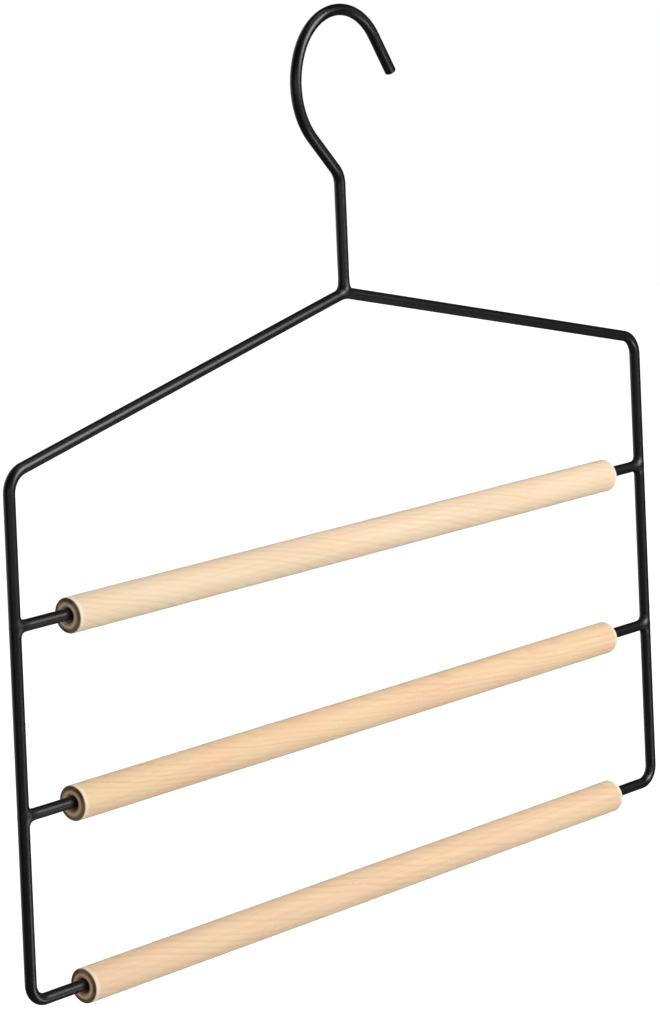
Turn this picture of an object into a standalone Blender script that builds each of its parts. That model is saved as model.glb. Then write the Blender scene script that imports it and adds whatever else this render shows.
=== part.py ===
"""Trouser hanger: a bent steel wire frame with a welded hook, and a wooden dowel on each of its bars.

Metres, +Z up. The wires' centre lines lie in the XZ plane and the hanger faces -Y. The origin is the
point of the hook's inner crown, straight above the stem, that rests on the wardrobe rod.
"""

from math import atan, ceil, cos, pi, radians, sin, sqrt, tan

import bmesh
import bpy
from mathutils import Matrix, Vector

# Wire: one gauge for the frame, the crossbars and the hook, with its coat
wire_diameter = 0.0042
bend_radius = 0.0085  # the forming tool's radius at the shoulders and the stem, to the wire's centre line
foot_bend_radius = 0.0065
apex_bend_radius = 0.0150

# Frame, from centre line to centre line
shoulder_width = 0.3460
foot_width = 0.3527
side_height = 0.1823
shoulder_rise = 0.0398
tier_spacing = 0.0653

# Hook, in the order in which its wire is bent from the stem upwards
stem_length = 0.0429  # from the shoulders' apex to the corner of the first bend
stem_bend_angle = radians(43.5)
neck_length = 0.0165
hook_side_radius = 0.0281
hook_side_angle = radians(71.5)
hook_crown_radius = 0.02315
hook_crown_angle = radians(119.5)
hook_tail_length = 0.0166
tip_edge_radius = 0.0006

# Dowels, all alike
dowel_diameter = 0.0127
dowel_edge_radius = 0.0009
dowel_end_distance = 0.0226  # how far inside the frame's narrower end the dowels end
bore_clearance = 0.0008  # between bore and wire, when the two are on one axis
upper_dowel_shift = 0.0011  # where each dowel lies along its bar, from the middle
middle_dowel_shift = -0.0016
lower_dowel_shift = -0.0011

# Weld beads, all alike
weld_leg = 0.0015  # how far a bead spreads along each of the two wires, from where their surfaces would meet
weld_toe = 0.0006  # its thickness where it ends on them
weld_cheek = 0.0008  # how far it stands out at the front and the back
weld_lap_share = 0.4  # how far it laps round the wire that it sits on, as a share of that wire's radius
weld_hollow = 1.2  # 1 gives a straight flare from toe to toe, and more a hollow one

touch_gap = 0.0003  # between pieces that touch

# Fineness of the curved faces
bend_step = radians(6)
wire_bevel_resolution = 6
dowel_steps = 48
dowel_edge_steps = 5
tip_edge_steps = 3
weld_steps = 32
weld_face_steps = 4
sharp_angle = radians(35)
merge_distance = 0.00001

# Everything below follows from the values above. Heights are counted from the lower bar's centre line.
wire_radius = wire_diameter / 2
apex_height = side_height + shoulder_rise
crook_height = apex_height + stem_length
bore_radius = wire_radius + bore_clearance
dowel_radius = dowel_diameter / 2
dowel_length = min(shoulder_width, foot_width) - 2 * dowel_end_distance
dowel_drop = bore_clearance - touch_gap
side_slope = atan((foot_width - shoulder_width) / 2 / side_height)
shoulder_slope = atan(shoulder_rise / (shoulder_width / 2))

RIGHT = Vector((1, 0, 0))
UP = Vector((0, 0, 1))
FRONT = Vector((0, -1, 0))


def clear_scene():
    for old in list(bpy.data.objects):
        bpy.data.objects.remove(old, do_unlink=True)


def new_collection(name):
    collection = bpy.data.collections.new(name)
    bpy.context.scene.collection.children.link(collection)
    return collection


def new_material(name, colour, roughness, metallic):
    material = bpy.data.materials.new(name)
    material.use_nodes = True
    shader = material.node_tree.nodes["Principled BSDF"]
    shader.inputs["Base Color"].default_value = (*colour, 1)
    shader.inputs["Roughness"].default_value = roughness
    shader.inputs["Metallic"].default_value = metallic
    material.diffuse_color = (*colour, 1)
    return material


def place(obj, collection, location, material=None):
    """Puts an object in its collection and on the hanger, whose empty carries every piece."""
    collection.objects.link(obj)
    obj.parent = hanger
    obj.location = location
    if material:
        obj.data.materials.append(material)
    return obj


def side_offset(height):
    """The distance from the middle to a side wire's centre line. The sides spread a little downwards."""
    return foot_width / 2 - height * tan(side_slope)


def rounded_loop(corners, radii):
    """The points of a closed centre line with each of its corners bent to a radius."""
    path = []
    for i, (corner, radius) in enumerate(zip(corners, radii)):
        back = (corners[i - 1] - corner).normalized()
        onward = (corners[(i + 1) % len(corners)] - corner).normalized()
        turn = pi - back.angle(onward)
        centre = corner + (back + onward).normalized() * radius / cos(turn / 2)
        arm = corner + back * radius * tan(turn / 2) - centre
        steps = ceil(turn / bend_step)
        axis = onward.cross(back)
        path += [centre + Matrix.Rotation(turn * k / steps, 3, axis) @ arm for k in range(steps + 1)]
    return path


def bend(path, heading, radius, angle):
    """Bends the wire on from the path's end, to the left seen from the front, or to the right if negative.

    Returns the new heading and the centre of the bend."""
    side = Matrix.Rotation(pi / 2 if angle > 0 else -pi / 2, 3, FRONT) @ heading
    centre = path[-1] + side * radius
    arm = path[-1] - centre
    steps = ceil(abs(angle) / bend_step)
    path += [centre + Matrix.Rotation(angle * k / steps, 3, FRONT) @ arm for k in range(1, steps + 1)]
    return Matrix.Rotation(angle, 3, FRONT) @ heading, centre


def hook_line():
    """The hook's centre line from the foot of the stem to the tip, and the centre of its crown."""
    path = [UP * (apex_line_height() + wire_radius + touch_gap)]
    path.append(UP * (crook_height - bend_radius * tan(stem_bend_angle / 2)))
    heading, _ = bend(path, UP, bend_radius, stem_bend_angle)
    path.append(path[-1] + heading * neck_length)
    heading, _ = bend(path, heading, hook_side_radius, -hook_side_angle)
    heading, crown = bend(path, heading, hook_crown_radius, -hook_crown_angle)
    edge_start = path[-1] + heading * (hook_tail_length - tip_edge_radius)
    path += [edge_start + heading * along for along, _ in tip_edge()]
    return path, crown


def tip_edge():
    """The rounding of the hook's tip, as distances along the wire and the radius that is left there."""
    turns = [pi / 2 * k / tip_edge_steps for k in range(tip_edge_steps + 1)]
    return [(tip_edge_radius * sin(turn), wire_radius - tip_edge_radius * (1 - cos(turn))) for turn in turns]


def apex_line_height():
    """The height of the frame's centre line under the stem, where the apex is rounded by its bend."""
    return apex_height - apex_bend_radius * (1 / cos(shoulder_slope) - 1)


def frame_line():
    """The frame's closed centre line: foot, side, shoulder, apex, and back down the other side."""
    left, right = -RIGHT, RIGHT
    corners = [
        right * foot_width / 2,
        right * shoulder_width / 2 + UP * side_height,
        UP * apex_height,
        left * shoulder_width / 2 + UP * side_height,
        left * foot_width / 2,
    ]
    radii = [foot_bend_radius, bend_radius, apex_bend_radius, bend_radius, foot_bend_radius]
    return rounded_loop(corners, radii)


def wire_curve(name, path, radius, closed=False, end_radii=()):
    """A wire along a path. Its last points may have other radii."""
    curve = bpy.data.curves.new(name, "CURVE")
    curve.dimensions = "3D"
    curve.bevel_depth = radius
    curve.bevel_resolution = wire_bevel_resolution
    curve.use_fill_caps = not closed
    spline = curve.splines.new("POLY")
    spline.points.add(len(path) - 1)
    for point, spot in zip(spline.points, path):
        point.co = (*spot, 1)
    for k, end_radius in enumerate(reversed(end_radii), start=1):
        spline.points[-k].radius = end_radius / radius
    spline.use_cyclic_u = closed
    spline.use_smooth = True
    return bpy.data.objects.new(name, curve)


def solid_copy(name, path, radius, closed=False):
    """A closed mesh along a wire's path, to cut with."""
    guide = wire_curve(name + "_guide", path, radius, closed)
    place(guide, cutters, Vector())
    bpy.context.view_layer.update()
    evaluated = guide.evaluated_get(bpy.context.evaluated_depsgraph_get())
    mesh = bpy.data.meshes.new_from_object(evaluated)
    welded = bmesh.new()
    welded.from_mesh(mesh)
    bmesh.ops.remove_doubles(welded, verts=welded.verts, dist=merge_distance)
    welded.to_mesh(mesh)
    welded.free()
    bpy.data.objects.remove(guide)
    cutter = place(bpy.data.objects.new(name, mesh), cutters, Vector())
    cutter.hide_render = True
    cutter.display_type = "WIRE"
    return cutter


def finish_mesh(obj):
    """Applies an object's modifiers, and shades it smooth up to its sharp edges."""
    bpy.context.view_layer.update()
    evaluated = obj.evaluated_get(bpy.context.evaluated_depsgraph_get())
    obj.data = bpy.data.meshes.new_from_object(evaluated)
    obj.modifiers.clear()
    obj.data.shade_smooth()
    obj.data.set_sharp_from_angle(angle=sharp_angle)


def dowel_profile():
    """Down the outside of the dowel, with both ends rounded over, and back up through the bore."""
    half = dowel_length / 2
    corner = dowel_radius - dowel_edge_radius
    top = [
        (
            corner + dowel_edge_radius * sin(pi / 2 * k / dowel_edge_steps),
            half - dowel_edge_radius * (1 - cos(pi / 2 * k / dowel_edge_steps)),
        )
        for k in range(dowel_edge_steps + 1)
    ]
    bottom = [(radius, -height) for radius, height in reversed(top)]
    return [(bore_radius, half), *top, *bottom, (bore_radius, -half)]


def add_dowel(name, height, shift):
    """A dowel, turned about its own Z axis and laid along its bar.

    It hangs on its bar, so its axis lies a little below the bar's."""
    profile = dowel_profile()
    mesh = bpy.data.meshes.new(name)
    edges = [(i, (i + 1) % len(profile)) for i in range(len(profile))]
    mesh.from_pydata([(radius, 0, along) for radius, along in profile], edges, [])
    dowel = bpy.data.objects.new(name, mesh)
    dowel.rotation_euler = (0, pi / 2, 0)
    place(dowel, pieces, RIGHT * shift + UP * (height - dowel_drop), wood)
    screw = dowel.modifiers.new("turn", "SCREW")
    screw.axis = "Z"
    screw.steps = dowel_steps
    screw.render_steps = dowel_steps
    screw.use_merge_vertices = True
    screw.merge_threshold = merge_distance
    finish_mesh(dowel)


def weld_sections():
    """A bead's oval sections along its bar, from its toe on the bar to its toe on the wire that it sits on,
    and on beside that wire, where it draws in. Each is a distance from that wire's centre line, a half width
    along that wire and a half depth."""
    flare = weld_leg - weld_toe
    sections = []
    for k in range(weld_face_steps + 1):
        along_share = k / weld_face_steps
        flare_share = along_share**weld_hollow
        distance = wire_radius + weld_leg - flare * along_share
        half_width = wire_radius + weld_toe + flare * flare_share
        half_depth = wire_radius + weld_toe + (weld_cheek - weld_toe) * flare_share
        sections.append((distance, half_width, half_depth))
    sections.append((wire_radius * (1 - weld_lap_share), wire_radius + weld_leg, wire_radius + touch_gap))
    return sections


def add_weld(name, location, turn, bar_cutter, lean=0):
    """A bead round the end of a bar. Its own Z axis runs along the bar, away from the wire that it sits on,
    and its sections lean with that wire."""
    angles = [2 * pi * k / weld_steps for k in range(weld_steps)]
    bead_mesh = bmesh.new()
    rings = [
        [
            bead_mesh.verts.new((width * cos(a), depth * sin(a), distance + width * cos(a) * tan(lean)))
            for a in angles
        ]
        for distance, width, depth in weld_sections()
    ]
    for upper, lower in zip(rings, rings[1:]):
        for k in range(weld_steps):
            bead_mesh.faces.new((lower[k - 1], lower[k], upper[k], upper[k - 1]))
    bead_mesh.faces.new(rings[0])
    bead_mesh.faces.new(reversed(rings[-1]))
    mesh = bpy.data.meshes.new(name)
    bead_mesh.to_mesh(mesh)
    bead_mesh.free()
    bead = bpy.data.objects.new(name, mesh)
    bead.rotation_euler = (0, turn, 0)
    place(bead, pieces, location, coat)
    for cutter in (frame_cutter, bar_cutter):
        cut = bead.modifiers.new("clear of " + cutter.name, "BOOLEAN")
        cut.object = cutter
        cut.operation = "DIFFERENCE"
        cut.solver = "EXACT"
    finish_mesh(bead)


def add_crossbar(name, height):
    """A crossbar cut square just short of both side wires, with a weld at each end."""
    seat = (wire_radius + touch_gap) / cos(side_slope) + wire_radius * tan(abs(side_slope))
    reach = side_offset(height) - seat
    path = [UP * height - RIGHT * reach, UP * height + RIGHT * reach]
    place(wire_curve(name + "_crossbar", path, wire_radius), pieces, Vector(), coat)
    cutter = solid_copy(name + "_bar_clearance", path, wire_radius + touch_gap)
    corner = RIGHT * side_offset(height)
    add_weld(name + "_left_weld", UP * height - corner, pi / 2, cutter, -side_slope)
    add_weld(name + "_right_weld", UP * height + corner, -pi / 2, cutter, side_slope)


clear_scene()
pieces = new_collection("trouser_hanger")
cutters = new_collection("cutters")
coat = new_material("black_coat", (0.012, 0.012, 0.013), 0.38, 0.0)
wood = new_material("pale_wood", (0.82, 0.62, 0.42), 0.55, 0.0)

hook_path, crown_centre = hook_line()
seat_height = crown_centre.z + sqrt((hook_crown_radius - wire_radius) ** 2 - crown_centre.x**2)
hanger = bpy.data.objects.new("hanger", None)
pieces.objects.link(hanger)
hanger.location = -UP * seat_height

# The frame, and the hook on its apex
frame_path = frame_line()
frame_wire = wire_curve("frame_wire", frame_path, wire_radius, closed=True)
place(frame_wire, pieces, Vector(), coat)
frame_cutter = solid_copy("frame_clearance", frame_path, wire_radius + touch_gap, closed=True)
tip_radii = [radius for _, radius in tip_edge()]
hook_wire = wire_curve("hook_wire", hook_path, wire_radius, end_radii=tip_radii)
place(hook_wire, pieces, Vector(), coat)
stem_cutter = solid_copy("stem_clearance", hook_path[:2], wire_radius + touch_gap)
add_weld("apex_weld", UP * apex_line_height(), 0, stem_cutter)

# The three bars. The frame's foot is the lowest, and the other two are crossbars.
tiers = (("lower", lower_dowel_shift), ("middle", middle_dowel_shift), ("upper", upper_dowel_shift))
for tier, (name, shift) in enumerate(tiers):
    add_dowel(name + "_dowel", tier * tier_spacing, shift)
    if tier > 0:
        add_crossbar(name, tier * tier_spacing)
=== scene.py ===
# %% [markdown]
# # Trouser hanger
# A bent steel wire hanger, powder coated black, with a wooden dowel on each of its three bars. The solids
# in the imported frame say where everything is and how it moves. This file gives each solid its finished
# surface: the wires as round tubes that follow the same bends, the welds as beads that flow into both
# wires, and the dowels as sanded wood with end grain and an open bore.

# %% Load the frame
from math import atan, ceil, cos, pi, radians, sin, sqrt, tan

import bmesh
import bpy
from mathutils import Matrix, Vector


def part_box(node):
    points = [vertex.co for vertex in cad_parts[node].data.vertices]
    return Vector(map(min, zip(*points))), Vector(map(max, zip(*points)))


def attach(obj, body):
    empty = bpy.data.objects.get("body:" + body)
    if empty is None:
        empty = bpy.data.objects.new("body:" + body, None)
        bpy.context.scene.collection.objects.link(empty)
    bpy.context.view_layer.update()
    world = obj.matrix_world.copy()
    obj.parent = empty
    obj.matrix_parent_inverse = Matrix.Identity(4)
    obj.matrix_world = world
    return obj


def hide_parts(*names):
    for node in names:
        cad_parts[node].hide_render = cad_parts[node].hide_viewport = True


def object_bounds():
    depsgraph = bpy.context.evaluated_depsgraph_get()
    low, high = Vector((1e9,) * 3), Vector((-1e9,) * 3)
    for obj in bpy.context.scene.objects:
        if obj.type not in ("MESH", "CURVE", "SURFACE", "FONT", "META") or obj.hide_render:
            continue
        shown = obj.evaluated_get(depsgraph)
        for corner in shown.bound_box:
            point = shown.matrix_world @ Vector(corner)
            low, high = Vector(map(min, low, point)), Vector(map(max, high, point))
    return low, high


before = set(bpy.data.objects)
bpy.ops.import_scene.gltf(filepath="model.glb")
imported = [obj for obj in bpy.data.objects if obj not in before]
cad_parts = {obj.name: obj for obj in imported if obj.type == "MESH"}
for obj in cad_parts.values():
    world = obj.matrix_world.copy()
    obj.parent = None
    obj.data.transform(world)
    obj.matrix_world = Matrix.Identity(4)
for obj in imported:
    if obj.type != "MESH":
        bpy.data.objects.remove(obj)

solid_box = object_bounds()
print("solids:", sorted(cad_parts))

# %% [markdown]
# ## Sizes
# A wire form is drawn by its centre line, as the shop that bends it does: straight lengths, bend radii and
# bend angles. These are the sizes that the solids were made from, so a tube swept along the same line lies
# exactly on its solid. Heights are counted from the lower bar, and the whole form is then lowered until the
# hook's inner crown, where it rests on its rod, is at the origin.

# %% The wire form's sizes, in metres
wire_radius = 0.0021
bend_radius = 0.0085
foot_bend_radius = 0.0065
apex_bend_radius = 0.0150
shoulder_width = 0.3460
foot_width = 0.3527
side_height = 0.1823
shoulder_rise = 0.0398
tier_spacing = 0.0653
stem_length = 0.0429
stem_bend_angle = radians(43.5)
neck_length = 0.0165
hook_side_radius = 0.0281
hook_side_angle = radians(71.5)
hook_crown_radius = 0.02315
hook_crown_angle = radians(119.5)
hook_tail_length = 0.0166
tip_edge_radius = 0.0006

# %% What follows from them
apex_height = side_height + shoulder_rise
crook_height = apex_height + stem_length
side_slope = atan((foot_width - shoulder_width) / 2 / side_height)
shoulder_slope = atan(shoulder_rise / (shoulder_width / 2))
apex_line_height = apex_height - apex_bend_radius * (1 / cos(shoulder_slope) - 1)
print("the wire's line crosses the apex", round(apex_line_height * 1000, 2), "mm above the lower bar")

# %% [markdown]
# ## Small helpers
# Every finish and every Geometry Nodes tree below is built in code, so that each of its numbers can be read
# and changed. A few helpers keep that short: one adds a node and feeds its sockets with numbers or with
# other nodes' outputs, one does arithmetic, two blend numbers and colours, and two open a group with named
# inputs and outputs and close it again. The last one puts an object into the scene.

# %% Helpers that build nodes
def add(tree, kind, feeds=None, **settings):
    """Adds a node. Each feed is a value or another node's output, by its socket's name or place."""
    made = tree.nodes.new(kind)
    for setting, value in settings.items():
        setattr(made, setting, value)
    for socket, value in (feeds or {}).items():
        if isinstance(value, bpy.types.NodeSocket):
            tree.links.new(value, made.inputs[socket])
        else:
            made.inputs[socket].default_value = value
    return made


def maths(tree, operation, *values):
    """One step of arithmetic on numbers or outputs, and its result."""
    return add(tree, "ShaderNodeMath", dict(enumerate(values)), operation=operation).outputs[0]


def ramp(tree, value, low, high, to_low=0.0, to_high=1.0, shape="SMOOTHSTEP"):
    """A value between two marks, as a step from one result to another, smooth unless told otherwise."""
    return add(
        tree,
        "ShaderNodeMapRange",
        {"Value": value, "From Min": low, "From Max": high, "To Min": to_low, "To Max": to_high},
        interpolation_type=shape,
    ).outputs["Result"]


def colour_mix(tree, amount, first, second, blend_type="MIX"):
    """Two colours mixed by an amount."""
    return add(
        tree, "ShaderNodeMix", {0: amount, 6: first, 7: second}, data_type="RGBA", blend_type=blend_type
    ).outputs[2]


# %% Helpers for groups and objects
def new_group(name, kind, inputs, outputs):
    """A node group with its inputs and outputs named. Returns the group and its two end nodes."""
    tree = bpy.data.node_groups.new(name, kind)
    for label, socket_type in inputs.items():
        tree.interface.new_socket(label, in_out="INPUT", socket_type="NodeSocket" + socket_type)
    for label, socket_type in outputs.items():
        tree.interface.new_socket(label, in_out="OUTPUT", socket_type="NodeSocket" + socket_type)
    return tree, add(tree, "NodeGroupInput").outputs, add(tree, "NodeGroupOutput")


def deliver(tree, end, **results):
    """Links results to a group's outputs, and prints how many nodes the group has."""
    for label, result in results.items():
        tree.links.new(result, end.inputs[label])
    print(tree.name, "group:", len(tree.nodes), "nodes")


def new_object(name, data):
    """An object in the scene that shows a mesh, a lamp or a camera."""
    made = bpy.data.objects.new(name, data)
    bpy.context.scene.collection.objects.link(made)
    return made


# %% [markdown]
# ## Powder coat
# The steel is dipped in no paint: dry powder is baked on until it melts and flows. It cools to a skin of a
# tenth of a millimetre that is never quite flat. Slow waves a millimetre apart are called orange peel, a
# finer grain makes the gloss satin, and here and there a speck that melted late stands up as a nib. The
# group below makes them from noise in the object's own coordinates, so the skin stays put when the hanger is
# turned. It hands back a colour, a roughness and a height, and each material that wears the coat sets its
# own amounts. A painted picture of such a skin would have to be wrapped, and would repeat along the wire.

# %% The coat as a node group
coat_tree, given, end = new_group(
    "powder_coat",
    "ShaderNodeTree",
    {"Place": "Vector", "Colour": "Color", "Dust Colour": "Color", "Gloss Share": "Float", "Rub": "Float"},
    {"Color": "Color", "Roughness": "Float", "Height": "Float"},
)


def coat_noise(waves, detail):
    """Noise on the coat with so many waves to the metre."""
    feeds = {"Vector": given["Place"], "Scale": waves, "Detail": detail}
    return add(coat_tree, "ShaderNodeTexNoise", feeds).outputs["Fac"]


peel = coat_noise(waves=900.0, detail=1.5)
grain = coat_noise(waves=4200.0, detail=2.0)
drift = coat_noise(waves=60.0, detail=2.0)
nib_cells = 260.0
nibs = add(coat_tree, "ShaderNodeTexVoronoi", {"Vector": given["Place"], "Scale": nib_cells})
nib_mask = ramp(coat_tree, nibs.outputs["Distance"], 0.05, 0.09, 1.0, 0.0, shape="LINEAR")

# %% The coat's height, colour and roughness
grain_height = 0.08
nib_height = 0.5
most_dust = 0.35
plain_roughness = 0.36
gloss_gain = 0.12
grain_roughness = 0.10
rub_gain = 0.10

height = maths(coat_tree, "ADD", peel, maths(coat_tree, "MULTIPLY", grain, grain_height))
height = maths(coat_tree, "ADD", height, maths(coat_tree, "MULTIPLY", nib_mask, nib_height))
dust = ramp(coat_tree, drift, 0.35, 0.75, 0.0, most_dust, shape="LINEAR")
colour = colour_mix(coat_tree, dust, given["Colour"], given["Dust Colour"])
glossier = maths(coat_tree, "MULTIPLY", given["Gloss Share"], gloss_gain)
roughness = maths(coat_tree, "SUBTRACT", plain_roughness, glossier)
roughness = maths(coat_tree, "ADD", roughness, maths(coat_tree, "MULTIPLY", grain, grain_roughness))
roughness = maths(coat_tree, "SUBTRACT", roughness, maths(coat_tree, "MULTIPLY", given["Rub"], rub_gain))
deliver(coat_tree, end, Color=colour, Roughness=roughness, Height=height)

# %% [markdown]
# The Principled BSDF stays in each material, and so does the Bump node that turns the group's height into a
# tilt of the surface. `Rub` is a mask of where the hook sits on its rod: the coat gets a little smoother
# there. It is drawn from the place on the piece, so it needs no map. The frame and the beads have no such
# spot, so theirs lies out in the air.

# %% Helpers that make a material
def new_material(name, preview_colour):
    """An empty node material. Returns it, its tree and its Principled BSDF."""
    material = bpy.data.materials.new(name)
    material.use_nodes = True
    material.diffuse_color = (*preview_colour, 1)
    tree = material.node_tree
    return material, tree, tree.nodes["Principled BSDF"]


def dress(tree, shader, finish, bump_depth):
    """Feeds a shader with a finish's colour and roughness, and through a Bump node with its height."""
    feeds = {"Strength": 1.0, "Distance": bump_depth, "Height": finish.outputs["Height"]}
    bump = add(tree, "ShaderNodeBump", feeds)
    tree.links.new(finish.outputs["Color"], shader.inputs["Base Color"])
    tree.links.new(finish.outputs["Roughness"], shader.inputs["Roughness"])
    tree.links.new(bump.outputs["Normal"], shader.inputs["Normal"])


# %% Materials that wear the coat
coat_preview = (0.012, 0.012, 0.013)
coat_black = (0.0022, 0.0022, 0.0025, 1)
dust_grey = (0.006, 0.006, 0.006, 1)
rub_core = 0.4
in_the_air = Vector((0, 1, 0))


def coat_material(name, gloss_share, bump_depth, rub_centre=in_the_air, rub_radius=0.01):
    """Satin black powder coat, rubbed smoother within a radius of one point."""
    material, tree, shader = new_material(name, coat_preview)
    place = add(tree, "ShaderNodeTexCoord").outputs["Object"]
    distance = add(
        tree, "ShaderNodeVectorMath", {0: place, 1: rub_centre}, operation="DISTANCE"
    ).outputs["Value"]
    coat = add(
        tree,
        "ShaderNodeGroup",
        {
            "Place": place,
            "Colour": coat_black,
            "Dust Colour": dust_grey,
            "Gloss Share": gloss_share,
            "Rub": ramp(tree, distance, rub_radius * rub_core, rub_radius, 1.0, 0.0),
        },
        node_tree=coat_tree,
    )
    dress(tree, shader, coat, bump_depth)
    return material


# %% The coats of the frame, the hook and the beads
peel_depth = 0.000018
bead_peel_depth = 0.00004
crown_seat = Vector((0, 0, 0))
frame_coat = coat_material("frame_coat", gloss_share=0.6, bump_depth=peel_depth)
hook_coat = coat_material(
    "hook_coat", gloss_share=0.6, bump_depth=peel_depth, rub_centre=crown_seat, rub_radius=0.012
)
bead_coat = coat_material("bead_coat", gloss_share=0.2, bump_depth=bead_peel_depth)
print("coated:", frame_coat.name, hook_coat.name, bead_coat.name)

# %% [markdown]
# ## Bending the wires
# The frame is one wire, closed into a loop with five corners, and each corner is bent round a former. The
# hook is a second wire, bent step by step from the stem upwards: a kink to the left, a wide arc to the
# right, then the tighter crown and a short tail. Two functions draw those lines. They could be typed as
# lists of points, but then nobody could read or change the bends.

# %% Directions, and how finely a bend is drawn
RIGHT = Vector((1, 0, 0))
UP = Vector((0, 0, 1))
FRONT = Vector((0, -1, 0))
bend_step = radians(2)
print("a quarter bend takes", round(pi / 2 / bend_step), "steps")

# %% The two ways to bend
def rounded_loop(corners, radii):
    """The points of a closed centre line with each of its corners bent to a radius."""
    path = []
    for i, (corner, radius) in enumerate(zip(corners, radii)):
        back = (corners[i - 1] - corner).normalized()
        onward = (corners[(i + 1) % len(corners)] - corner).normalized()
        turn = pi - back.angle(onward)
        centre = corner + (back + onward).normalized() * radius / cos(turn / 2)
        arm = corner + back * radius * tan(turn / 2) - centre
        steps = ceil(turn / bend_step)
        axis = onward.cross(back)
        path += [centre + Matrix.Rotation(turn * k / steps, 3, axis) @ arm for k in range(steps + 1)]
    return path


def bend(path, heading, radius, angle):
    """Bends the wire on from the path's end: to the left as the front sees it, or right if negative."""
    side = Matrix.Rotation(pi / 2 if angle > 0 else -pi / 2, 3, FRONT) @ heading
    centre = path[-1] + side * radius
    arm = path[-1] - centre
    steps = ceil(abs(angle) / bend_step)
    path += [centre + Matrix.Rotation(angle * k / steps, 3, FRONT) @ arm for k in range(1, steps + 1)]
    return Matrix.Rotation(angle, 3, FRONT) @ heading, centre


# %% The centre lines of the wires
def frame_line():
    """The frame's closed centre line: foot, side, shoulder, apex, and back down the other side."""
    corners = [
        RIGHT * foot_width / 2,
        RIGHT * shoulder_width / 2 + UP * side_height,
        UP * apex_height,
        -RIGHT * shoulder_width / 2 + UP * side_height,
        -RIGHT * foot_width / 2,
    ]
    radii = [foot_bend_radius, bend_radius, apex_bend_radius, bend_radius, foot_bend_radius]
    return rounded_loop(corners, radii)


def hook_line():
    """The hook's centre line from inside the frame's apex to the start of the rounded tip."""
    path = [UP * apex_line_height, UP * (crook_height - bend_radius * tan(stem_bend_angle / 2))]
    heading, _ = bend(path, UP, bend_radius, stem_bend_angle)
    path.append(path[-1] + heading * neck_length)
    heading, _ = bend(path, heading, hook_side_radius, -hook_side_angle)
    heading, crown = bend(path, heading, hook_crown_radius, -hook_crown_angle)
    path.append(path[-1] + heading * (hook_tail_length - tip_edge_radius))
    return path, heading, crown


def side_offset(height):
    """The distance from the middle to a side wire's centre line."""
    return foot_width / 2 - height * tan(side_slope)


def side_spot(sign, height):
    """A point of a side wire's centre line: the right one's for 1, the left one's for -1."""
    return RIGHT * sign * side_offset(height) + UP * height


hook_path, tip_heading, crown_centre = hook_line()
seat_height = crown_centre.z + sqrt((hook_crown_radius - wire_radius) ** 2 - crown_centre.x**2)
seat = -UP * seat_height
print("the lower bar lies", round(seat_height * 1000, 2), "mm below the hook's seat")

# %% [markdown]
# ## Sweeping a wire along its line
# A Geometry Nodes tree turns any of these lines into a tube: the line's edges become a curve, a circle of
# the wire's radius is swept along it, and a share stored on each point thins the wire where its tip is
# rounded. A curve object with a bevel would give the same tube, but one tree with named sizes serves all
# four wires and keeps the sides as fine as the close views need.

# %% The tree that sweeps a wire
def real_shape(tree, shape, material):
    """The last steps of a tree: its shape is shaded smooth, made real and given its material."""
    smooth = add(tree, "GeometryNodeSetShadeSmooth", {"Geometry": shape})
    real = add(tree, "GeometryNodeRealizeInstances", {"Geometry": smooth.outputs["Geometry"]})
    feeds = {"Geometry": real.outputs["Geometry"], "Material": material}
    return add(tree, "GeometryNodeSetMaterial", feeds).outputs["Geometry"]


wire_tree, given, end = new_group(
    "swept_wire",
    "GeometryNodeTree",
    {"Line": "Geometry", "Radius": "Float", "Sides": "Int", "Material": "Material"},
    {"Wire": "Geometry"},
)
line = add(wire_tree, "GeometryNodeMeshToCurve", {"Mesh": given["Line"]}).outputs["Curve"]
share = add(wire_tree, "GeometryNodeInputNamedAttribute", {"Name": "thickness_share"}, data_type="FLOAT")
ring_sizes = {"Resolution": given["Sides"], "Radius": given["Radius"]}
ring = add(wire_tree, "GeometryNodeCurvePrimitiveCircle", ring_sizes).outputs["Curve"]
tube = add(
    wire_tree,
    "GeometryNodeCurveToMesh",
    {"Curve": line, "Profile Curve": ring, "Scale": share.outputs["Attribute"], "Fill Caps": True},
).outputs["Mesh"]
deliver(wire_tree, end, Wire=real_shape(wire_tree, tube, given["Material"]))

# %% [markdown]
# The tree runs as a modifier on a guide, which is a plain mesh of points and edges. Its result is then kept
# as a mesh, because a piece is handed over without modifiers. Last, each piece's box is held against its
# solid's. The crossbars and the stem run on to the line of the wire that they are welded on, where their
# solids stop just short of its skin, so those boxes differ by 2.4 mm on purpose. The beads flow out further
# along the wires than their solids do, and lie closer round them.

# %% Running a tree on a guide
def settle(piece):
    """Gives a piece the mesh that its modifiers make, and removes them."""
    bpy.context.view_layer.update()
    evaluated = piece.evaluated_get(bpy.context.evaluated_depsgraph_get())
    made = bpy.data.meshes.new_from_object(evaluated)
    piece.modifiers.clear()
    piece.data = made


def grow(name, guide, tree, sizes):
    """Runs a Geometry Nodes tree on a guide mesh, and keeps the result as a plain mesh."""
    piece = new_object(name, guide)
    modifier = piece.modifiers.new(tree.name, "NODES")
    modifier.node_group = tree
    sockets = {item.name: item.identifier for item in tree.interface.items_tree if item.in_out == "INPUT"}
    for size, value in sizes.items():
        modifier[sockets[size]] = value
    settle(piece)
    return piece


# %% Handing a piece to the frame
def report(piece, node):
    """Prints a piece's size in triangles, and how far its box is from its solid's, in millimetres."""
    piece.data.calc_loop_triangles()
    spots = [vertex.co for vertex in piece.data.vertices]
    low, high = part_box(node)
    off = [min(spot[k] for spot in spots) - low[k] for k in range(3)]
    off += [max(spot[k] for spot in spots) - high[k] for k in range(3)]
    off = [round(distance * 1000, 2) for distance in off]
    print(piece.name, len(piece.data.loop_triangles), "triangles, off by", off)


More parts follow.
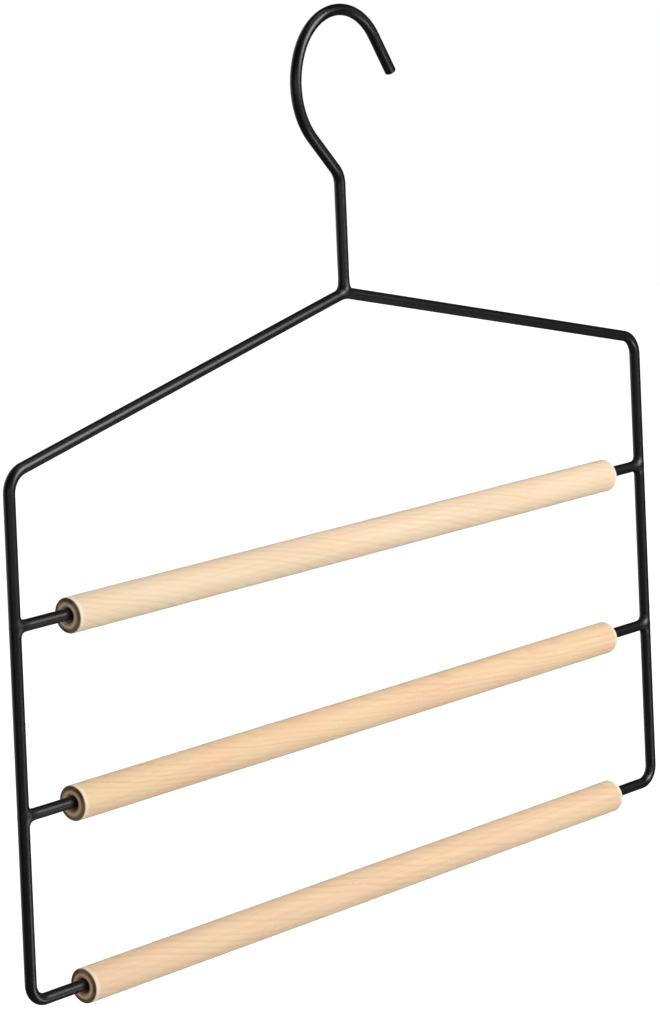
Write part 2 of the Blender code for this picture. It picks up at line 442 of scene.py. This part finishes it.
def finish_piece(piece, node, body):
    """Hands a piece to the frame: its solid is hidden, it rides on a body, and its size is printed."""
    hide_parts(node)
    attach(piece, body)
    report(piece, node)


# %% A wire in the place of its solid
wire_sides = 40
wire_sharp_angle = radians(40)


def add_wire(node, path, shares, material, closed=False):
    """A wire swept along a path, in the place of its solid."""
    guide = bpy.data.meshes.new(node + "_line")
    edges = [(k, k + 1) for k in range(len(path) - 1)]
    if closed:
        edges.append((len(path) - 1, 0))
    guide.from_pydata([spot + seat for spot in path], edges, [])
    attribute = guide.attributes.new("thickness_share", "FLOAT", "POINT")
    attribute.data.foreach_set("value", shares)
    sizes = {"Radius": wire_radius, "Sides": wire_sides, "Material": material}
    wire = grow(node + "_tube", guide, wire_tree, sizes)
    wire.data.set_sharp_from_angle(angle=wire_sharp_angle)
    finish_piece(wire, node, "wire_frame")


# %% The frame and the crossbars
frame_path = frame_line()
add_wire("frame_wire", frame_path, [1.0] * len(frame_path), frame_coat, closed=True)
for tier, node in ((1, "middle_crossbar"), (2, "upper_crossbar")):
    ends = [side_spot(sign, tier * tier_spacing) for sign in (-1, 1)]
    add_wire(node, ends, [1.0, 1.0], frame_coat)

# %% The hook, with its tip rounded over
tip_steps = 8
tip_turns = [pi / 2 * k / tip_steps for k in range(tip_steps + 1)]
edge_start = hook_path.pop()
hook_shares = [1.0] * len(hook_path)
hook_path += [edge_start + tip_heading * tip_edge_radius * sin(turn) for turn in tip_turns]
hook_shares += [1 - tip_edge_radius * (1 - cos(turn)) / wire_radius for turn in tip_turns]
add_wire("hook_wire", hook_path, hook_shares, hook_coat)

# %% [markdown]
# ## Weld beads
# Where a bar meets the frame, the steel was melted together and the coat has flowed over the joint. The
# shape is a smooth blend of two round wires, with a slight swelling in the middle. It is easiest to say as a
# field: for any point in space, take the distance to each wire's surface, and blend the smaller of the two
# with a smooth minimum, which fills the inner corners as molten metal does. A join of two meshes would leave
# a crease there. The tree first parts the guide into the bar's line and the line that it is welded on.

# %% The tree that blends a bead
bead_tree, given, end = new_group(
    "weld_bead",
    "GeometryNodeTree",
    {
        "Lines": "Geometry",
        "Joint": "Vector",
        "Wire Radius": "Float",
        "Fillet": "Float",
        "Swelling": "Float",
        "Reach": "Float",
        "Low": "Vector",
        "High": "Vector",
        "Steps": "Int",
        "Material": "Material",
    },
    {"Bead": "Geometry"},
)
is_bar = add(bead_tree, "GeometryNodeInputNamedAttribute", {"Name": "is_bar"}, data_type="BOOLEAN")
parted = add(
    bead_tree,
    "GeometryNodeSeparateGeometry",
    {"Geometry": given["Lines"], "Selection": is_bar.outputs["Attribute"]},
    domain="POINT",
)


def distance_to_wire(lines):
    """The distance from any point to a wire's surface. It is negative inside the wire."""
    nearest = add(bead_tree, "GeometryNodeProximity", {0: lines}, target_element="EDGES")
    return maths(bead_tree, "SUBTRACT", nearest.outputs["Distance"], given["Wire Radius"])


to_bar = distance_to_wire(parted.outputs["Selection"])
to_seat = distance_to_wire(parted.outputs["Inverted"])
blend = maths(bead_tree, "SMOOTH_MIN", to_bar, to_seat, given["Fillet"])

# %% [markdown]
# A weld is never even, so noise makes the swelling uneven, and it dies away before the bead's ends. There
# the field is sunk a hair into the wires, so that the bead fades out with no visible step.

# %% The swelling in the middle, and the sinking at the ends
lump_waves = 420.0
least_swelling = 0.4
sink_depth = 0.00008

place = add(bead_tree, "GeometryNodeInputPosition").outputs["Position"]
to_joint = add(
    bead_tree, "ShaderNodeVectorMath", {0: place, 1: given["Joint"]}, operation="DISTANCE"
).outputs["Value"]
share_out = maths(bead_tree, "DIVIDE", to_joint, given["Reach"])
dome = ramp(bead_tree, share_out, 0.15, 0.75, 1.0, 0.0)
lumps = add(bead_tree, "ShaderNodeTexNoise", {"Vector": place, "Scale": lump_waves, "Detail": 1.0})
uneven = maths(bead_tree, "ADD", lumps.outputs["Fac"], least_swelling)
swelling = maths(bead_tree, "MULTIPLY", uneven, given["Swelling"])
swollen = maths(bead_tree, "SUBTRACT", blend, maths(bead_tree, "MULTIPLY", swelling, dome))
field = maths(bead_tree, "ADD", swollen, ramp(bead_tree, share_out, 0.6, 1.0, 0.0, sink_depth))
beyond = maths(bead_tree, "SUBTRACT", to_joint, given["Reach"])
field = maths(bead_tree, "MAXIMUM", field, beyond)

# %% [markdown]
# A volume holds a density and no distance, so the field becomes one that falls from 1 to 0 within a thin
# band round the surface. The skin is then drawn where the density is one half, which is where the field is
# zero.

# %% From the field to a skin
field_band = 0.001
half_density = 0.5

density = maths(bead_tree, "SUBTRACT", half_density, maths(bead_tree, "DIVIDE", field, field_band))
density = add(bead_tree, "ShaderNodeClamp", {"Value": density}).outputs["Result"]
volume = add(
    bead_tree,
    "GeometryNodeVolumeCube",
    {
        "Density": density,
        "Min": given["Low"],
        "Max": given["High"],
        "Resolution X": given["Steps"],
        "Resolution Y": given["Steps"],
        "Resolution Z": given["Steps"],
    },
).outputs["Volume"]
skin = add(bead_tree, "GeometryNodeVolumeToMesh", {"Volume": volume, "Threshold": half_density})
deliver(bead_tree, end, Bead=real_shape(bead_tree, skin.outputs["Mesh"], given["Material"]))

# %% A bead in the place of its solid
bead_fillet = 0.0030
bead_swelling = 0.00022
bead_reach = 0.0058
bead_steps = 76
bead_room = 1.15
bar_run = 0.02


def add_bead(node, joint, seat_path, bar_heading):
    """A bead where a bar is welded on a wire, at a joint on that wire's line. The bar's own line starts at
    that wire's near surface, so nothing swells on the far side."""
    contact = joint + bar_heading * wire_radius
    spots = [*seat_path, contact, joint + bar_heading * bar_run]
    count = len(seat_path)
    edges = [(k, k + 1) for k in range(count - 1)] + [(count, count + 1)]
    guide = bpy.data.meshes.new(node + "_lines")
    guide.from_pydata([spot + seat for spot in spots], edges, [])
    attribute = guide.attributes.new("is_bar", "BOOLEAN", "POINT")
    attribute.data.foreach_set("value", [False] * count + [True, True])
    middle = contact + seat
    half = Vector((1, 1, 1)) * (bead_reach * bead_room)
    sizes = {
        "Joint": middle,
        "Wire Radius": wire_radius,
        "Fillet": bead_fillet,
        "Swelling": bead_swelling,
        "Reach": bead_reach,
        "Low": middle - half,
        "High": middle + half,
        "Steps": bead_steps,
        "Material": bead_coat,
    }
    bead = grow(node + "_bead", guide, bead_tree, sizes)
    finish_piece(bead, node, "wire_frame")


# %% Beads at the apex and at the crossbars' ends
apex_run = [spot for spot in frame_path if abs(spot.x) < bar_run and spot.z > side_height]
add_bead("apex_weld", UP * apex_line_height, apex_run, UP)
for tier, name in ((1, "middle"), (2, "upper")):
    for hand, sign in (("left", -1), ("right", 1)):
        heights = [tier * tier_spacing + step for step in (-bar_run, 0, bar_run)]
        below, joint, above = (side_spot(sign, height) for height in heights)
        add_bead(f"{name}_{hand}_weld", joint, [below, above], -RIGHT * sign)

# %% [markdown]
# ## Sanded wood
# The dowels are turned from a pale, close-grained hardwood and left bare. Such wood is a stack of yearly
# rings round a pith that lies well outside the dowel. Where the rings run out through the side they show as
# faint streaks, and on the ends as gentle arcs. One solid pattern in the object's coordinates gives both at
# once, which a picture wrapped round the side could not.

# %% The wood as a node group
wood_tree, given, end = new_group(
    "sanded_hardwood",
    "ShaderNodeTree",
    {
        "Place": "Vector",
        "Pith": "Vector",
        "Ring Spacing": "Float",
        "Pale Colour": "Color",
        "Late Colour": "Color",
        "Warm Colour": "Color",
        "End Colour": "Color",
        "End": "Float",
        "Painted Shade": "Float",
        "Painted Highlight": "Float",
    },
    {"Color": "Color", "Roughness": "Float", "Height": "Float"},
)


def stretched(waves):
    """The place on the dowel, scaled differently along and across the grain."""
    return add(
        wood_tree, "ShaderNodeVectorMath", {0: given["Place"], 1: waves}, operation="MULTIPLY"
    ).outputs["Vector"]


def wood_noise(waves, detail):
    """Noise in the wood with so many waves to the metre, given along each axis."""
    feeds = {"Vector": stretched(waves), "Scale": 1.0, "Detail": detail}
    return add(wood_tree, "ShaderNodeTexNoise", feeds).outputs["Fac"]


# %% [markdown]
# The rings are cylinders, so a point's ring follows from its distance to the pith. The stick was sawn at a
# slant, so the pith leans away along the dowel and the streaks run a little across it, and slow noise makes
# them wander. In a year the wood starts pale and ends in a darker line, and no two are alike.

# %% The yearly rings
pith_lean = {"Y": 0.24, "Z": 0.18}
wander_depth = 0.0030
palest_year = 0.35

from_pith = add(
    wood_tree, "ShaderNodeVectorMath", {0: given["Place"], 1: given["Pith"]}, operation="SUBTRACT"
).outputs["Vector"]
axes = add(wood_tree, "ShaderNodeSeparateXYZ", {0: from_pith}).outputs
leaned = {
    axis: maths(wood_tree, "ADD", axes[axis], maths(wood_tree, "MULTIPLY", axes["X"], slope))
    for axis, slope in pith_lean.items()
}
across = add(wood_tree, "ShaderNodeCombineXYZ", leaned).outputs["Vector"]
radius = add(wood_tree, "ShaderNodeVectorMath", {0: across}, operation="LENGTH").outputs["Value"]
wander = wood_noise((28, 110, 110), detail=2.0)
radius = maths(wood_tree, "ADD", radius, maths(wood_tree, "MULTIPLY", wander, wander_depth))
rings = maths(wood_tree, "DIVIDE", radius, given["Ring Spacing"])
season = maths(wood_tree, "FRACT", rings)
darkening = ramp(wood_tree, season, 0.35, 0.92)
winter = ramp(wood_tree, season, 0.93, 1.0, 1.0, 0.0)
late = maths(wood_tree, "MULTIPLY", darkening, winter)
year = maths(wood_tree, "FLOOR", rings)
chance = add(wood_tree, "ShaderNodeTexWhiteNoise", {"W": year}, noise_dimensions="1D").outputs["Value"]
strength = maths(wood_tree, "MULTIPLY", chance, 1 - palest_year)
late = maths(wood_tree, "MULTIPLY", late, maths(wood_tree, "ADD", palest_year, strength))

# %% [markdown]
# Within the rings, fine fibres and coarser threads run along the dowel, and its tone drifts between a paler
# and a warmer one. Short pale flecks are the rays that cross the rings. They are the cells of a Voronoi
# pattern that are picked by chance.

# %% Fibres, threads, tint and flecks
fibres = wood_noise((55, 2600, 2600), detail=3.0)
threads = wood_noise((16, 620, 620), detail=2.0)
tint = wood_noise((48, 90, 90), detail=2.0)
flecks = add(wood_tree, "ShaderNodeTexVoronoi", {"Vector": stretched((330, 1500, 1500)), "Scale": 1.0})
fleck_chance = add(wood_tree, "ShaderNodeSeparateColor", {0: flecks.outputs["Color"]}).outputs["Red"]
fleck_shape = ramp(wood_tree, flecks.outputs["Distance"], 0.18, 0.30, 1.0, 0.0)
fleck = maths(wood_tree, "MULTIPLY", fleck_shape, ramp(wood_tree, fleck_chance, 0.72, 0.80))

# %% The wood's colour
late_share = 0.50
thread_share = 0.30
fibre_share = 0.22
fleck_share = 0.30
# Painted shade: dark brown rings on each end face, one at its outer edge and one round the bore.
least_painted_shade = 0.82
painted_shade_brown = (0.14, 0.09, 0.06, 1.0)
# Painted highlight: a pale cream band on the side beside each rounded end.
painted_highlight_share = 0.65
painted_highlight_cream = (0.96, 0.90, 0.74, 1.0)

warmth = ramp(wood_tree, tint, 0.38, 0.66)
colour = colour_mix(wood_tree, warmth, given["Pale Colour"], given["Warm Colour"])
for darker in (
    maths(wood_tree, "MULTIPLY", late, late_share),
    ramp(wood_tree, threads, 0.42, 0.72, 0.0, thread_share),
    ramp(wood_tree, fibres, 0.50, 0.80, 0.0, fibre_share),
):
    colour = colour_mix(wood_tree, darker, colour, given["Late Colour"])
paler = maths(wood_tree, "MULTIPLY", fleck, fleck_share)
colour = colour_mix(wood_tree, paler, colour, given["End Colour"])
end_grain = colour_mix(wood_tree, 1.0, colour, given["End Colour"], "MULTIPLY")
colour = colour_mix(wood_tree, given["End"], colour, end_grain)
# A dark brown is painted as shade on two rings of each end face, patchy along the grain.
shade_coloured = colour_mix(wood_tree, 1.0, colour, painted_shade_brown, "MULTIPLY")
patchiness = ramp(wood_tree, wander, 0.40, 0.60, least_painted_shade, 1.0)
painted_shade_amount = maths(wood_tree, "MULTIPLY", given["Painted Shade"], patchiness)
colour = colour_mix(wood_tree, painted_shade_amount, colour, shade_coloured)
# The band beside each end is painted cream as a highlight, where the rounded edge would catch the light.
highlight_amount = maths(wood_tree, "MULTIPLY", given["Painted Highlight"], painted_highlight_share)
colour = colour_mix(wood_tree, highlight_amount, colour, painted_highlight_cream)

# %% [markdown]
# Sanding wears the soft wood between the threads a little deeper. The ends show the marks of the saw
# instead, as fine even waves, and their cut pores make them rougher than the side.

# %% The wood's height and roughness
saw_waves = 900.0
sanded_roughness = 0.52
fibre_roughness = 0.12
end_roughness = 0.2


def layered(first, first_share, second, second_share):
    """Two patterns added up, each in its share."""
    first_part = maths(wood_tree, "MULTIPLY", first, first_share)
    return maths(wood_tree, "ADD", first_part, maths(wood_tree, "MULTIPLY", second, second_share))


saw = add(
    wood_tree,
    "ShaderNodeTexWave",
    {"Vector": given["Place"], "Scale": saw_waves, "Distortion": 1.2, "Detail": 2.0},
    bands_direction="Y",
).outputs["Fac"]
side_height_map = layered(fibres, 0.5, threads, 0.5)
end_height_map = layered(fibres, 0.8, saw, 0.6)
feeds = {0: given["End"], 2: side_height_map, 3: end_height_map}
height_map = add(wood_tree, "ShaderNodeMix", feeds, data_type="FLOAT").outputs[0]
roughness = layered(fibres, fibre_roughness, given["End"], end_roughness)
roughness = maths(wood_tree, "ADD", sanded_roughness, roughness)
deliver(wood_tree, end, Color=colour, Roughness=roughness, Height=height_map)

# %% [markdown]
# Each dowel is cut from another stick, so each has its own pith and ring spacing, and each is given its own
# tone. Three masks come from the mesh: `end_grain` is 1 on the end faces and in the bore, the second marks
# two dark rings of painted shade on each end, one at the outer edge and one round the bore, and the third
# marks a band of painted highlight beside the edge, where the rounded edge would catch the light. Bare wood
# has almost no shine, and its loose fibres give it a faint sheen.

# %% A material for each dowel
end_tone = (0.98, 0.96, 0.95, 1)
wood_bump_depth = 0.00003
wood_shine = 0.08
wood_sheen = 0.25
wood_sheen_roughness = 0.45


def wood_material(name, pith, ring_spacing, pale, late_tone, warm):
    """Bare hardwood with its own rings and tone."""
    material, tree, shader = new_material(name, pale)
    masks = {"End": "end_grain", "Painted Shade": "painted_shade", "Painted Highlight": "painted_highlight"}
    readers = {
        socket: add(tree, "ShaderNodeAttribute", attribute_name=mask).outputs["Fac"]
        for socket, mask in masks.items()
    }
    wood = add(
        tree,
        "ShaderNodeGroup",
        {
            "Place": add(tree, "ShaderNodeTexCoord").outputs["Object"],
            "Pith": pith,
            "Ring Spacing": ring_spacing,
            "Pale Colour": (*pale, 1),
            "Late Colour": (*late_tone, 1),
            "Warm Colour": (*warm, 1),
            "End Colour": end_tone,
            **readers,
        },
        node_tree=wood_tree,
    )
    dress(tree, shader, wood, wood_bump_depth)
    shader.inputs["Specular IOR Level"].default_value = wood_shine
    shader.inputs["Sheen Weight"].default_value = wood_sheen
    shader.inputs["Sheen Roughness"].default_value = wood_sheen_roughness
    return material


# %% The wood of each dowel
upper_wood = wood_material(
    "upper_wood",
    pith=(0.03, 0.055, 0.03),
    ring_spacing=0.0021,
    pale=(0.93, 0.75, 0.52),
    late_tone=(0.80, 0.55, 0.35),
    warm=(0.95, 0.715, 0.50),
)
middle_wood = wood_material(
    "middle_wood",
    pith=(-0.02, -0.030, -0.09),
    ring_spacing=0.0017,
    pale=(0.91, 0.675, 0.415),
    late_tone=(0.77, 0.485, 0.285),
    warm=(0.93, 0.64, 0.41),
)
lower_wood = wood_material(
    "lower_wood",
    pith=(0.01, 0.045, -0.07),
    ring_spacing=0.0024,
    pale=(0.905, 0.675, 0.43),
    late_tone=(0.765, 0.485, 0.295),
    warm=(0.92, 0.64, 0.425),
)
print("woods:", upper_wood.name, middle_wood.name, lower_wood.name)

# %% [markdown]
# ## Turning the dowels
# A dowel is a turned shape: one profile spun round the bar. The profile runs down the outer side with both
# ends rounded over, across the end faces and back through the bore, whose mouth has a small chamfer from the
# drill. The Screw modifier spins it, and the result is kept as a plain mesh. A cylinder cut by another would
# give the same form, but not the close rings of points that the masks by the edge need.

# %% The dowel's sizes
dowel_radius = 0.00635
dowel_edge_radius = 0.0009
dowel_end_distance = 0.0226
dowel_length = min(shoulder_width, foot_width) - 2 * dowel_end_distance
bore_clearance = 0.0008
bore_radius = wire_radius + bore_clearance
bore_chamfer = 0.0003
touch_gap = 0.0003
dowel_drop = bore_clearance - touch_gap
dowel_sides = 128
dowel_sharp_angle = radians(35)
edge_steps = 12
face_rings = 8
band_width = 0.0016
band_rings = 8
merge_distance = 0.00001
print("each dowel is", round(dowel_length * 1000, 1), "mm long")
print("it hangs", round(dowel_drop * 1000, 1), "mm below its wire's line")

# %% The dowel's profile
def dowel_profile():
    """Down the outer side with rounded ends, across the end faces, and back up through the bore."""
    half = dowel_length / 2
    corner = dowel_radius - dowel_edge_radius
    mouth = bore_radius + bore_chamfer
    turns = [pi / 2 * k / edge_steps for k in range(edge_steps + 1)]
    face = [(mouth + (corner - mouth) * k / face_rings, half) for k in range(face_rings)]
    edge = [
        (corner + dowel_edge_radius * sin(turn), half - dowel_edge_radius * (1 - cos(turn)))
        for turn in turns
    ]
    band = [
        (dowel_radius, half - dowel_edge_radius - band_width * k / band_rings)
        for k in range(1, band_rings + 1)
    ]
    top = [(bore_radius, half - bore_chamfer), *face, *edge, *band]
    return [*top, *((radius, -along) for radius, along in reversed(top))]


# %% [markdown]
# Each mask is worked out for every point of the mesh from two measures: how far the point is from the
# dowel's axis, and how deep it lies behind the end face.

# %% The masks on the dowel's ends
side_start = (0.0002, 0.0006)
# The painted shade lies in two rings on each end face: one towards the outer edge and a weaker one round the
# bore.
outer_shade_ring = (0.0039, 0.0052)
bore_shade_ring = (bore_radius + 0.0002, bore_radius + 0.0012)
bore_shade_strength = 0.6
# The painted highlight covers the rounded edge and a short band of the side beyond it.
painted_highlight_depths = (dowel_edge_radius * 1.2, dowel_edge_radius + band_width)


def eased_step(value, low, high):
    """0 below one mark and 1 above another, with a smooth step between them."""
    share = min(max((value - low) / (high - low), 0), 1)
    return share * share * (3 - 2 * share)


def mark_ends(mesh):
    """Stores as masks on the points: the end grain, rings of painted shade and a band of painted highlight.
    """
    end_mask = mesh.attributes.new("end_grain", "FLOAT", "POINT")
    painted_shade_mask = mesh.attributes.new("painted_shade", "FLOAT", "POINT")
    painted_highlight_mask = mesh.attributes.new("painted_highlight", "FLOAT", "POINT")
    for vertex in mesh.vertices:
        radius = sqrt(vertex.co.y**2 + vertex.co.z**2)
        depth = dowel_length / 2 - abs(vertex.co.x)
        in_bore = radius < bore_radius + bore_chamfer / 2
        on_side = eased_step(depth, *side_start)
        outer = eased_step(radius, *outer_shade_ring)
        inner = bore_shade_strength * (1 - eased_step(radius, *bore_shade_ring))
        near_edge = 1 - eased_step(depth, *painted_highlight_depths)
        end_mask.data[vertex.index].value = 1.0 if in_bore else 1 - on_side
        # Painted shade on the end faces: the outer ring and, weaker, the ring round the bore.
        painted_shade_mask.data[vertex.index].value = 0 if in_bore else max(outer, inner) * (1 - on_side)
        # Painted highlight on the side, by the rounded edge.
        painted_highlight_mask.data[vertex.index].value = 0 if in_bore else on_side * near_edge


# %% A dowel in the place of its solid
def add_dowel(name, tier, shift, material):
    """A dowel spun round its bar, in the place of its solid, with its masks."""
    profile = dowel_profile()
    mesh = bpy.data.meshes.new(name)
    edges = [(k, (k + 1) % len(profile)) for k in range(len(profile))]
    mesh.from_pydata([(along, 0, radius) for radius, along in profile], edges, [])
    dowel = new_object(name + "_turned", mesh)
    screw = dowel.modifiers.new("turn", "SCREW")
    screw.axis = "X"
    screw.steps = dowel_sides
    screw.render_steps = dowel_sides
    screw.use_merge_vertices = True
    screw.merge_threshold = merge_distance
    settle(dowel)
    shell = bmesh.new()
    shell.from_mesh(dowel.data)
    bmesh.ops.remove_doubles(shell, verts=shell.verts, dist=merge_distance)
    bmesh.ops.recalc_face_normals(shell, faces=shell.faces)
    shell.to_mesh(dowel.data)
    shell.free()
    mark_ends(dowel.data)
    middle = seat + RIGHT * shift + UP * (tier * tier_spacing - dowel_drop)
    dowel.data.transform(Matrix.Translation(middle))
    dowel.data.shade_smooth()
    dowel.data.set_sharp_from_angle(angle=dowel_sharp_angle)
    dowel.data.materials.append(material)
    finish_piece(dowel, name, name.replace("dowel", "roller"))


# %% The three dowels
add_dowel("lower_dowel", tier=0, shift=-0.0011, material=lower_wood)
add_dowel("middle_dowel", tier=1, shift=-0.0016, material=middle_wood)
add_dowel("upper_dowel", tier=2, shift=0.0011, material=upper_wood)

# %% [markdown]
# ## Camera
# The camera stands left of the hanger and a little above its middle, with a long lens, so the far side is
# only slightly smaller than the near one. Its place is given by two angles and a distance, as for a product
# shot, and a slight roll. The lens comes from the focal length in pixels: Blender fits the sensor to the
# picture's longer side, which here is its height.

# %% The camera's place and lens
camera_azimuth = radians(-48.277)
camera_elevation = radians(10.534)
camera_roll = radians(2.4457)
camera_distance = 1.42638
camera_target = seat + Vector((-0.01273, 0, 0.14556))
focal_pixels = 3909.8
picture_height = 1010
sensor_width = 36.0
farthest_seen = 50

# %% The camera
back = Vector(
    (
        sin(camera_azimuth) * cos(camera_elevation),
        -cos(camera_azimuth) * cos(camera_elevation),
        sin(camera_elevation),
    )
)
level_right = (-back).cross(UP).normalized()
level_down = (-back).cross(level_right)
picture_right = level_right * cos(camera_roll) + level_down * sin(camera_roll)
picture_down = level_down * cos(camera_roll) - level_right * sin(camera_roll)
lens = bpy.data.cameras.new("camera")
lens.sensor_width = sensor_width
lens.lens = focal_pixels / picture_height * sensor_width
lens.clip_end = farthest_seen
camera = new_object("camera", lens)
turned = Matrix((picture_right, -picture_down, back)).transposed().to_4x4()
camera.matrix_world = Matrix.Translation(camera_target + back * camera_distance) @ turned
bpy.context.scene.camera = camera
print("lens:", round(lens.lens, 2), "mm")

# %% [markdown]
# ## Light, floor and backdrop
# The picture is a cut-out on white, with one broad soft box in front and to the right, which leaves the
# dowels' left ends in shade, a faint one above, and a weak even light from all round. A black coat shows
# little but its highlights, so three weak boxes are seen by gloss alone: one widens the bright line on the
# shoulder and the crown, one draws the long soft lines on the uprights, and a small one the glint on the
# wires' undersides.

# %% The lamps
def add_lamp(name, direction, distance, size, watts, only_in_gloss=False):
    """A soft box that faces the hanger's middle from one direction, and may be seen by gloss alone."""
    light = bpy.data.lights.new(name, "AREA")
    light.shape = "RECTANGLE"
    light.size, light.size_y = size
    light.energy = watts
    lamp = new_object(name, light)
    heading = Vector(direction).normalized()
    lamp.location = camera_target + heading * distance
    lamp.rotation_euler = heading.to_track_quat("Z", "Y").to_euler()
    lamp.visible_diffuse = not only_in_gloss
    print(name, watts, "W, only in gloss" if only_in_gloss else "W")


add_lamp("key_light", (0.35, -0.85, 0.36), distance=1.6, size=(0.8, 1.0), watts=18.2)
add_lamp("key_shine", (0.30, -0.80, 0.50), distance=1.6, size=(0.8, 1.0), watts=9, only_in_gloss=True)
add_lamp("front_shine", (-0.62, -0.78, 0.05), distance=1.6, size=(2.4, 0.42), watts=3.4, only_in_gloss=True)
add_lamp("low_shine", (0.39, -0.93, -0.66), distance=1.2, size=(0.4, 0.4), watts=3.4, only_in_gloss=True)
add_lamp("top_light", (0.1, -0.2, 1.0), distance=1.5, size=(1.0, 0.7), watts=2)

# %% [markdown]
# The floor and the world are white to the camera, and in a reflection only where it looks past the hanger to
# what is straight behind. In front of it the room is dim, as a studio is, so the black stays black. More
# light would also give a white ground, but it would fall on the hanger too.

# %% The world
PURE_WHITE = (1, 1, 1, 1)
ambient_strength = 0.42
gloss_strength = 0.04


def shows_white(tree, place, near, far):
    """1 for rays that show the white: the camera's, those through glass, and those reflected to the back."""
    path = add(tree, "ShaderNodeLightPath").outputs
    away = add(tree, "ShaderNodeSeparateXYZ", {0: place}).outputs["Y"]
    behind = maths(tree, "MULTIPLY", path["Is Glossy Ray"], ramp(tree, away, near, far))
    seen = maths(tree, "MAXIMUM", path["Is Camera Ray"], behind)
    return maths(tree, "MAXIMUM", seen, path["Is Transmission Ray"])


world = bpy.data.worlds.new("studio")
bpy.context.scene.world = world
world.use_nodes = True
room = world.node_tree
room.nodes.clear()
in_gloss = add(room, "ShaderNodeLightPath").outputs["Is Glossy Ray"]
less = maths(room, "MULTIPLY", in_gloss, ambient_strength - gloss_strength)
room_strength = maths(room, "SUBTRACT", ambient_strength, less)
dim = add(room, "ShaderNodeBackground", {"Color": PURE_WHITE, "Strength": room_strength})
white = add(room, "ShaderNodeBackground", {"Color": PURE_WHITE, "Strength": 1.0})
heading = add(room, "ShaderNodeTexCoord").outputs["Generated"]
shows = shows_white(room, heading, 0.6, 1.0)
shown = add(room, "ShaderNodeMixShader", {0: shows, 1: dim.outputs[0], 2: white.outputs[0]})
add(room, "ShaderNodeOutputWorld", {"Surface": shown.outputs[0]})
print("world:", ambient_strength, "on the hanger,", gloss_strength, "in its gloss")

# %% The floor
floor_drop = 0.75
floor_size = 12.0
floor_tone = 0.8
tone_lost_in_gloss = 0.65
floor_glow = 0.85

floor_level = solid_box[0][2] - floor_drop
corner_signs = ((-1, -1), (1, -1), (1, 1), (-1, 1))
corners = [(x * floor_size / 2, y * floor_size / 2, floor_level) for x, y in corner_signs]
floor_mesh = bpy.data.meshes.new("floor")
floor_mesh.from_pydata(corners, [], [(0, 1, 2, 3)])
floor = new_object("floor", floor_mesh)
print("the floor lies", round(-floor_level, 3), "m below the hook's seat")

# %% The floor's material
pale_floor = bpy.data.materials.new("pale_floor")
pale_floor.use_nodes = True
tree = pale_floor.node_tree
tree.nodes.clear()
in_gloss = add(tree, "ShaderNodeLightPath").outputs["Is Glossy Ray"]
tone = maths(tree, "SUBTRACT", floor_tone, maths(tree, "MULTIPLY", in_gloss, tone_lost_in_gloss))
matt = add(tree, "ShaderNodeBsdfDiffuse", {"Color": tone})
spot = add(tree, "ShaderNodeNewGeometry").outputs["Position"]
glow_strength = maths(tree, "MULTIPLY", shows_white(tree, spot, 1.0, 4.0), floor_glow)
glow = add(tree, "ShaderNodeEmission", {"Color": PURE_WHITE, "Strength": glow_strength})
both = add(tree, "ShaderNodeAddShader", {0: matt.outputs[0], 1: glow.outputs[0]})
add(tree, "ShaderNodeOutputMaterial", {"Surface": both.outputs[0]})
floor_mesh.materials.append(pale_floor)

# %% [markdown]
# Blender's usual view transform softens bright tones, which would turn the white ground grey and the wood
# dull. The Standard one shows every colour as it was worked out.

# %% Plain colours
bpy.context.scene.view_settings.view_transform = "Standard"
print("view transform:", bpy.context.scene.view_settings.view_transform)
